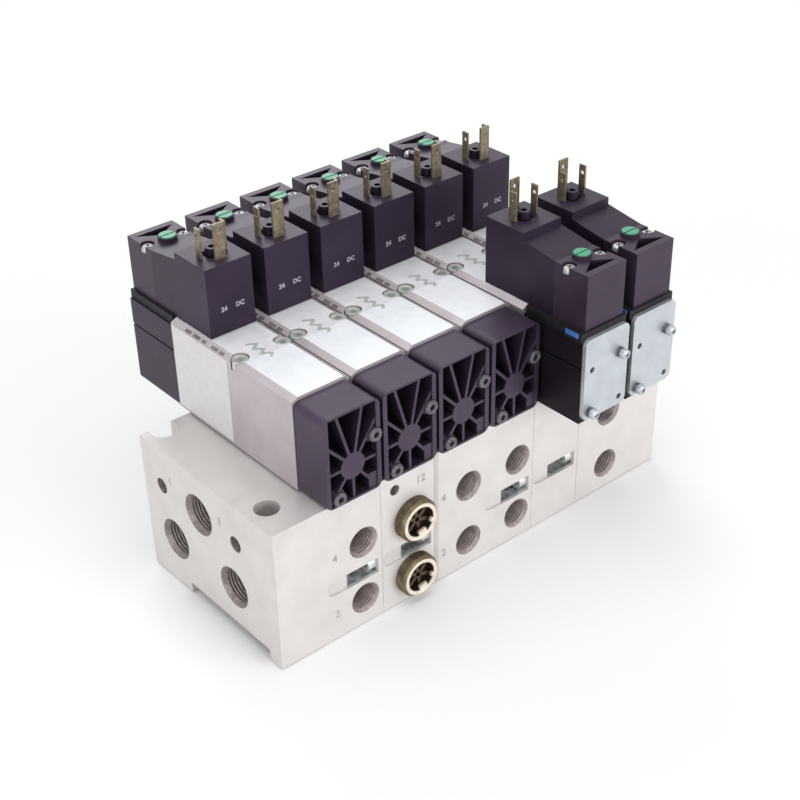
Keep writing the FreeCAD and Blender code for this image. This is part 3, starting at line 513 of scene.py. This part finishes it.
COIL_FIGURES, COIL_LINE = 2.7, 114.3
for number in VALVES:
    face = span(f"rear_coil_{number}")[0][1]
    for name, words, x in (("volts", "24", -3.4), ("current", "DC", 3.9)):
        lettering(f"coil_{name}_{number}", words, COIL_FIGURES, (centre_x(number) + x, face, COIL_LINE),
                  UPRIGHT, 0.03, pale_ink_finish, bold=0.12)


# Stamped numbers beside the ports

STAMPED_FIGURES, STAMPED_DEPTH = 5.0, 0.05
LEFT_END_MARK = LEFT + STAMPED_DEPTH - 0.005     # hardly proud, so that the bank's length stays as it is
for name, words, place in (
        ("mark_1_high", "4", (centre_x(1) - 9.1, FRONT, 38.4)),
        ("mark_1_low", "2", (centre_x(1) - 9.1, FRONT, 11.6)),
        ("mark_3_high", "4", (centre_x(3) - 8.7, FRONT, 39.7)),
        ("mark_3_low", "2", (centre_x(3) - 8.7, FRONT, 12.6)),
        ("mark_gauge", "12", (centre_x(2) + 6.6, FRONT, 54.9))):
    lettering(name, words, STAMPED_FIGURES, place, UPRIGHT, STAMPED_DEPTH, mark_shade_finish,
              bold=0.1)
for name, words, place in (
        ("mark_supply", "1", (LEFT_END_MARK, behind_front(67.9), 50.7)),
        ("mark_exhaust", "3", (LEFT_END_MARK, behind_front(34.5), 50.3))):
    lettering(name, words, STAMPED_FIGURES, place, ON_LEFT_END, STAMPED_DEPTH, mark_shade_finish,
              bold=0.1)


# Threads, each a closed ridged sleeve inside its bore

def thread(work, place, towards, radius, chamfer, depth, pitch, ridge, floor=True):
    """A sleeve over a bore's chamfer and down its wall in ridges, on a drilled floor or open behind. Its
    skin is its least thickness, and the run out is the plain length behind the last ridge."""
    skin, run_out = 0.08, 0.9
    wall = radius - SUNK
    mouth = skin + SUNK
    outline = [(wall, depth - SUNK), (wall, chamfer + SUNK), (wall + chamfer - SUNK, SUNK),
               (wall + chamfer - mouth, SUNK), (wall - skin, chamfer + SUNK)]
    level = chamfer + mouth
    while level + pitch < depth - run_out:
        outline += [(wall - ridge, level + pitch / 2), (wall - skin, level + pitch)]
        level += pitch
    if floor:
        outline = [(0, depth - SUNK), *outline, (wall - ridge, depth - run_out), (0, depth - mouth)]
    else:
        outline += [(wall - ridge, depth - SUNK)]
    turned(work, outline, place, towards)


PIPE_PITCH = 1.337              # 19 threads to the inch, as on G1/4 and G3/8
PORT = dict(radius=5.9, chamfer=0.9, depth=14.0, pitch=PIPE_PITCH, ridge=0.5)
GAUGE_PORT = dict(radius=2.3, chamfer=0.0, depth=6.0, pitch=0.8, ridge=0.25)
END_PORT = dict(radius=7.6, chamfer=1.3, depth=15.0, pitch=PIPE_PITCH, ridge=0.5, floor=False)
PILOT_PORT = dict(radius=3.4, chamfer=0.0, depth=9.0, pitch=0.907, ridge=0.3, floor=False)
END_PORT_PLACES = ((49.0, 45.2), (28.4, 22.4), (68.3, 22.4))
PILOT_PORT_PLACES = ((74.4, 45.4), (24.5, 45.4))
GAUGE_SHIFT, GAUGE_LEVEL = -6.4, 55.7

work = bmesh.new()
for number in PORTED:
    for level in PORT_LEVELS:
        thread(work, (centre_x(number) + PORT_SHIFT, FRONT, level), "+y", **PORT)
thread(work, (centre_x(2) + GAUGE_SHIFT, FRONT, GAUGE_LEVEL), "+y", **GAUGE_PORT)
finished("front_port_threads", work, front_thread_shade_finish)
work = bmesh.new()
for face, inward in ((LEFT, "+x"), (RIGHT, "-x")):
    for y, z in END_PORT_PLACES:
        thread(work, (face, behind_front(y), z), inward, **END_PORT)
    for y, z in PILOT_PORT_PLACES:
        thread(work, (face, behind_front(y), z), inward, **PILOT_PORT)
finished("end_port_threads", work, end_thread_shade_finish)


# Brass fittings: a knurled collar, a pale faced ring and a recess dark with painted shade, with webs and two
# tongues

def knurled_sleeve(work, place, radius, bore, length, floor, teeth=72, cut=0.28):
    """A cup along -Y whose round is cut into teeth, open in front of its floor."""
    ring = bmesh.ops.create_circle(work, cap_ends=True, segments=teeth * 2, radius=radius)["verts"]
    ring.sort(key=lambda vert: math.atan2(vert.co.y, vert.co.x))
    bmesh.ops.scale(work, vec=(1 - cut / radius, 1 - cut / radius, 1), verts=ring[::2])
    made = list(ring)
    edges = list(ring[0].link_faces[0].edges)
    for rise, narrowing in ((length, 1.0), (0.0, bore / radius), (floor - length, 1.0)):
        grown = bmesh.ops.extrude_edge_only(work, edges=edges)["geom"]
        verts = [item for item in grown if isinstance(item, bmesh.types.BMVert)]
        edges = [item for item in grown if isinstance(item, bmesh.types.BMEdge)
                 and item.verts[0] in verts and item.verts[1] in verts]
        bmesh.ops.scale(work, vec=(narrowing, narrowing, 1), verts=verts)
        bmesh.ops.translate(work, vec=(0, 0, rise), verts=verts)
        made += verts
    bmesh.ops.contextual_create(work, geom=edges)
    faces = list({face for vert in made for face in vert.link_faces})
    bmesh.ops.recalc_face_normals(work, faces=faces)
    bmesh.ops.transform(work, matrix=Matrix.Translation(place) @ TOWARDS["-y"], verts=made)


# Outlines of radius and distance in front of the manifold
NOSE = [(8.0, 3.6), (8.95, 3.6), (8.9, 4.0), (8.2, 5.0), (8.0, 5.0)]
RIM = [(6.5, 0.4), (8.1, 0.4), (8.1, 5.1), (7.9, 5.3), (6.8, 5.3), (6.5, 5.0)]
RECESS_FLOOR = [(0, 0.5), (0, 1.2), (1.6, 1.6), (6.3, 1.1), (6.3, 0.5)]
RECESS_WALL = [(6.35, 0.8), (6.6, 0.8), (6.6, 4.7), (6.35, 4.6)]
# Each tongue's angle, the radius of its tip and half its width
TONGUES = ((-80, 4.2, 1.9), (-15, 5.3, 0.9))
TONGUE_ROOT = 6.9
WEB_ANGLES = (20, 80, 140)
WEB_REACH, WEB_HALF, WEB_BACK, WEB_FRONT = 6.3, 0.7, 1.0, 2.8

sleeves, rims, recesses, webs = bmesh.new(), bmesh.new(), bmesh.new(), bmesh.new()
for level in PORT_LEVELS:
    place = Vector((centre_x(2) + FITTING_SHIFT, FRONT, level))
    knurled_sleeve(sleeves, place, radius=9.2, bore=7.0, length=3.9, floor=0.5)
    turned(sleeves, NOSE, place, "-y", 64)
    turned(rims, RIM, place, "-y", 64)
    for angle, tip, half_width in TONGUES:
        turn = Matrix.Rotation(math.radians(-angle), 4, "Y")
        middle = place + turn @ Vector(((tip + TONGUE_ROOT) / 2, -4.5, 0))
        reach = Vector(((TONGUE_ROOT - tip) / 2, 0.6, half_width))
        block(rims, middle - reach, middle + reach, turn=turn)
    turned(recesses, RECESS_FLOOR, place, "-y", 48)
    turned(recesses, RECESS_WALL, place, "-y", 48)
    for angle in WEB_ANGLES:
        block(webs, place + Vector((-WEB_REACH, -WEB_FRONT, -WEB_HALF)),
              place + Vector((WEB_REACH, -WEB_BACK, WEB_HALF)),
              turn=Matrix.Rotation(math.radians(angle), 4, "Y"))
for name, work, material in (("fitting_sleeves", sleeves, knurl_reflection_finish),
                             ("fitting_rims", rims, faced_brass_finish),
                             ("fitting_recesses", recesses, recess_shade_finish),
                             ("fitting_webs", webs, web_shade_finish)):
    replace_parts(finished(name, work, material), "port_fittings")


# Screws with domed heads and cross recesses, in place of the plain pan screws

def cross_head(radius, height):
    """The mesh of one domed head, standing on the XY plane, with its cross recess cut out."""
    work = bmesh.new()
    crown = min(1.0, height * 0.5)
    dome = [(0, 0), (radius, 0), (radius, height - crown), (radius * 0.93, height - crown * 0.5),
            (radius * 0.78, height - crown * 0.2), (radius * 0.5, height - crown * 0.05), (0, height)]
    turned(work, dome, (0, 0, 0), "+z", 32)
    head = bpy.data.meshes.new("head")
    work.to_mesh(head)
    work.free()
    work = bmesh.new()
    arm, half_width = radius * 0.55, radius * 0.13
    block(work, (-arm, -half_width, height - 1.2), (arm, half_width, height + 1.0))
    block(work, (-half_width, -arm, height - 1.3), (half_width, arm, height + 0.9))
    recess = bpy.data.meshes.new("recess")
    work.to_mesh(recess)
    work.free()
    head_thing = bpy.data.objects.new("head", head)
    recess_thing = bpy.data.objects.new("recess", recess)
    for thing in (head_thing, recess_thing):
        bpy.context.scene.collection.objects.link(thing)
    cutting = head_thing.modifiers.new("recess", "BOOLEAN")
    cutting.object = recess_thing
    cutting.operation = "DIFFERENCE"
    cutting.solver = "EXACT"
    cutting.use_self = True
    evaluated = head_thing.evaluated_get(bpy.context.evaluated_depsgraph_get())
    mesh = bpy.data.meshes.new_from_object(evaluated)
    for thing in (head_thing, recess_thing):
        bpy.data.objects.remove(thing)
    return mesh


def socket_head(radius, height, socket):
    """The mesh of one ring shaped head round a deep socket, standing on the XY plane."""
    work = bmesh.new()
    turned(work, [(0, 0), (radius, 0), (radius, height - 0.6), (radius - 0.6, height), (socket + 0.3, height),
                  (socket, height - 0.3), (socket, height - 2.0), (0, height - 2.2)], (0, 0, 0), "+z", 32)
    mesh = bpy.data.meshes.new("socket_head")
    work.to_mesh(mesh)
    work.free()
    return mesh


def screw_heads(name, head, places, material):
    """Copies of one head, each at a place, pointing towards an axis and turned about it."""
    work = bmesh.new()
    for place, towards, turn in places:
        before = set(work.verts)
        work.from_mesh(head)
        made = [vert for vert in work.verts if vert not in before]
        matrix = Matrix.Translation(place) @ TOWARDS[towards] @ Matrix.Rotation(math.radians(turn), 4, "Z")
        bmesh.ops.transform(work, matrix=matrix, verts=made)
    return finished(name, work, material)


CAP_SEAT = span("end_cap_1")[0][1] + 1.9
COVER_FACE = span("cover_plates")[0][1]
# Screws across the diagonals of caps and cover plates, from the spool's axis
CAP_SCREWS = ((10.3, 9.2), (-7.0, -11.5))
COVER_SCREWS = ((7.2, 11.8), (-8.5, -9.2))
# Screws in the heads' pockets, from the button and the head's top
HEAD_SCREW_ASIDE, HEAD_SCREW_BEYOND, HEAD_SCREW_SEAT = 8.2, 1.7, 4.5
# Each screw's turn is its own, as a screwdriver leaves it
cap_places = [(Vector((centre_x(number) + x, CAP_SEAT, SPOOL_AXIS + z)), "-y", 20 + 17 * number)
              for number in CAPPED for x, z in CAP_SCREWS]
cover_places = [(Vector((centre_x(number) + x, COVER_FACE, SPOOL_AXIS + z)), "-y", 30 + 11 * number)
                for number in DOUBLE for x, z in COVER_SCREWS]
head_places = []
for number, side in PILOTS:
    low, high = span(f"{side}_button_{number}")
    outward = 1 if side == "rear" else -1
    line = (low[1] + high[1]) / 2 + outward * HEAD_SCREW_BEYOND
    level = span(f"{side}_head_{number}")[1][2] - HEAD_SCREW_SEAT
    head_places += [(Vector((centre_x(number) + HEAD_SCREW_ASIDE * across, line, level)), "+z",
                     13 * number + 40 * across) for across in (-1, 1)]
cap_head = socket_head(radius=2.9, height=2.9, socket=1.15)
cover_head_side = socket_head(radius=2.2, height=2.4, socket=1.7)
cover_head_face = cross_head(radius=2.15, height=4.2)
pocket_head = cross_head(radius=2.6, height=2.3)
# each cover plate screw is a side with painted shade under a face of the plates' zinc
for piece in (screw_heads("cap_screw_heads", cap_head, cap_places, ring_screw_finish),
              screw_heads("cover_screw_sides", cover_head_side, cover_places, screw_side_shade_finish),
              screw_heads("cover_screw_faces", cover_head_face, cover_places, cover_finish),
              screw_heads("head_screw_heads", pocket_head, head_places, screw_finish)):
    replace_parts(piece, "pan_screws")


# Blue retaining clips on the seals' edges

CLIP_ASIDE, CLIP_HALF = 12.4, 1.3
CLIP_FROM_END, CLIP_TO_END = 8.2, 1.6
CLIP_FLOOR, CLIP_TOP = 1.9, 3.7
for number, side in PILOTS:
    low, high = span(f"{side}_block_{number}")
    outward = 1 if side == "rear" else -1
    end = high[1] if side == "rear" else low[1]
    edge = centre_x(number) + CLIP_ASIDE * outward
    near, far = sorted((end - CLIP_TO_END * outward, end - CLIP_FROM_END * outward))
    work = bmesh.new()
    block(work, (edge - CLIP_HALF, near, high[2] + CLIP_FLOOR), (edge + CLIP_HALF, far, high[2] + CLIP_TOP),
          corner=0.4)
    finished(f"{side}_clip_{number}", work, blue_finish)


# Fine shadow lines where the manifold's sections meet, and a duller band of painted shade beside one

JOINT_HALF, JOINT_FLOOR, JOINT_TOP = 0.08, 0.5, BASE_TOP - 0.3
work = bmesh.new()
for section in ("base_supply", "base_double", "base_single", "base_right"):
    x = span(section)[0][0]
    block(work, (x - JOINT_HALF, FRONT - 0.02, JOINT_FLOOR), (x + JOINT_HALF, FRONT + 0.3, JOINT_TOP))
finished("section_joints", work, joint_finish)
# painted shade: the darker band beside the double section's joint, standing for its shallow groove
BAND_HALF = 1.3
work = bmesh.new()
band = span("base_double")[0][0] + 0.9
block(work, (band - BAND_HALF, FRONT - 0.01, 0.4), (band + BAND_HALF, FRONT + 0.2, JOINT_TOP), corner=0.15)
finished("groove_shade_band", work, groove_shade_finish)


# Floor, light and camera

def lamp(name, size, watts, place, aim):
    """A soft box of a size in metres, at a place, facing another."""
    light = bpy.data.lights.new(name, "AREA")
    light.shape = "RECTANGLE"
    light.size = size[0]
    light.size_y = size[1]
    light.energy = watts
    thing = bpy.data.objects.new(name, light)
    bpy.context.scene.collection.objects.link(thing)
    thing.location = place
    thing.rotation_euler = (Vector(aim) - Vector(place)).to_track_quat("-Z", "Y").to_euler()


lamp("overhead_box", (0.9, 0.9), 4.3, (-0.10, 0.0, 0.95), (0.0, -0.02, 0.08))
lamp("left_box", (0.8, 0.35), 2.3, (-0.90, -0.25, 0.20), (0.0, -0.02, 0.02))
lamp("front_box", (0.9, 0.5), 6.2, (0.26, -1.00, 0.30), (0.0, -0.02, 0.03))
lamp("back_box", (0.8, 0.6), 3.8, (0.36, 0.90, 0.56), (0.0, -0.02, 0.10))

FLOOR_HALF, FLOOR_DROP = 3.0, 0.0003
work = bmesh.new()
bmesh.ops.create_grid(work, x_segments=1, y_segments=1, size=FLOOR_HALF)
bmesh.ops.translate(work, vec=(0, 0, -FLOOR_DROP), verts=work.verts)
floor_mesh = bpy.data.meshes.new("floor")
work.to_mesh(floor_mesh)
work.free()
floor = bpy.data.objects.new("floor", floor_mesh)
bpy.context.scene.collection.objects.link(floor)


def background_rays(tree):
    """1 on rays that see the background itself, straight or in a reflection, and 0 on those that light."""
    rays = add(tree, "ShaderNodeLightPath")
    seen = add(tree, "ShaderNodeMath", {0: rays.outputs["Is Camera Ray"], 1: rays.outputs["Is Glossy Ray"]},
               operation="MAXIMUM")
    seen = add(tree, "ShaderNodeMath", {0: seen.outputs["Value"], 1: rays.outputs["Is Transmission Ray"]},
               operation="MAXIMUM")
    return seen.outputs["Value"]


# White paper, which takes the bank's shadow and fades to plain white away from it
floor_material, tree, floor_shader, place = new_material("white_paper_floor")
floor_shader.inputs["Base Color"].default_value = linear("#FAFAFA")
floor_shader.inputs["Roughness"].default_value = 0.9
away = add(tree, "ShaderNodeVectorMath", {0: place}, operation="LENGTH")
fade = add(tree, "ShaderNodeMapRange", {"Value": away.outputs["Value"], "From Min": 0.14, "From Max": 0.42},
           interpolation_type="SMOOTHSTEP")
plain = add(tree, "ShaderNodeMath", {0: fade.outputs["Result"], 1: background_rays(tree)},
            operation="MULTIPLY")
white = add(tree, "ShaderNodeEmission", {"Color": (1, 1, 1, 1)})
paper = add(tree, "ShaderNodeMixShader", {0: plain.outputs["Value"], 1: floor_shader.outputs["BSDF"],
                                          2: white.outputs["Emission"]})
tree.links.new(paper.outputs["Shader"], tree.nodes["Material Output"].inputs["Surface"])
paint(floor, floor_material)

world = bpy.data.worlds.new("studio")
world.use_nodes = True
sky = world.node_tree
strength = add(sky, "ShaderNodeMapRange", {"Value": background_rays(sky), "To Min": 0.42, "To Max": 1.0})
sky.links.new(strength.outputs["Result"], sky.nodes["Background"].inputs["Strength"])
sky.nodes["Background"].inputs["Color"].default_value = (1, 1, 1, 1)
bpy.context.scene.world = world
bpy.context.scene.view_settings.view_transform = "Standard"


def camera_matrix(place, azimuth, elevation, roll):
    """The camera's place and turn: azimuth 0 looks along +Y, elevation is how far it looks down."""
    tilt = Matrix.Rotation(math.radians(90 - elevation), 4, "X")
    look = Matrix.Rotation(math.radians(azimuth), 4, "Z") @ tilt
    return Matrix.Translation(place) @ look @ Matrix.Rotation(math.radians(roll), 4, "Z")


# The camera as fitted to the edges of manifold and valves
lens = bpy.data.cameras.new("photo_camera")
lens.sensor_width = 36.0
lens.lens = 66.18
lens.clip_end = 20.0
camera = bpy.data.objects.new("photo_camera", lens)
bpy.context.scene.collection.objects.link(camera)
camera.matrix_world = camera_matrix((-0.3315, -0.4205, 0.3838), -39.754, 32.676, -1.313)
bpy.context.scene.camera = camera
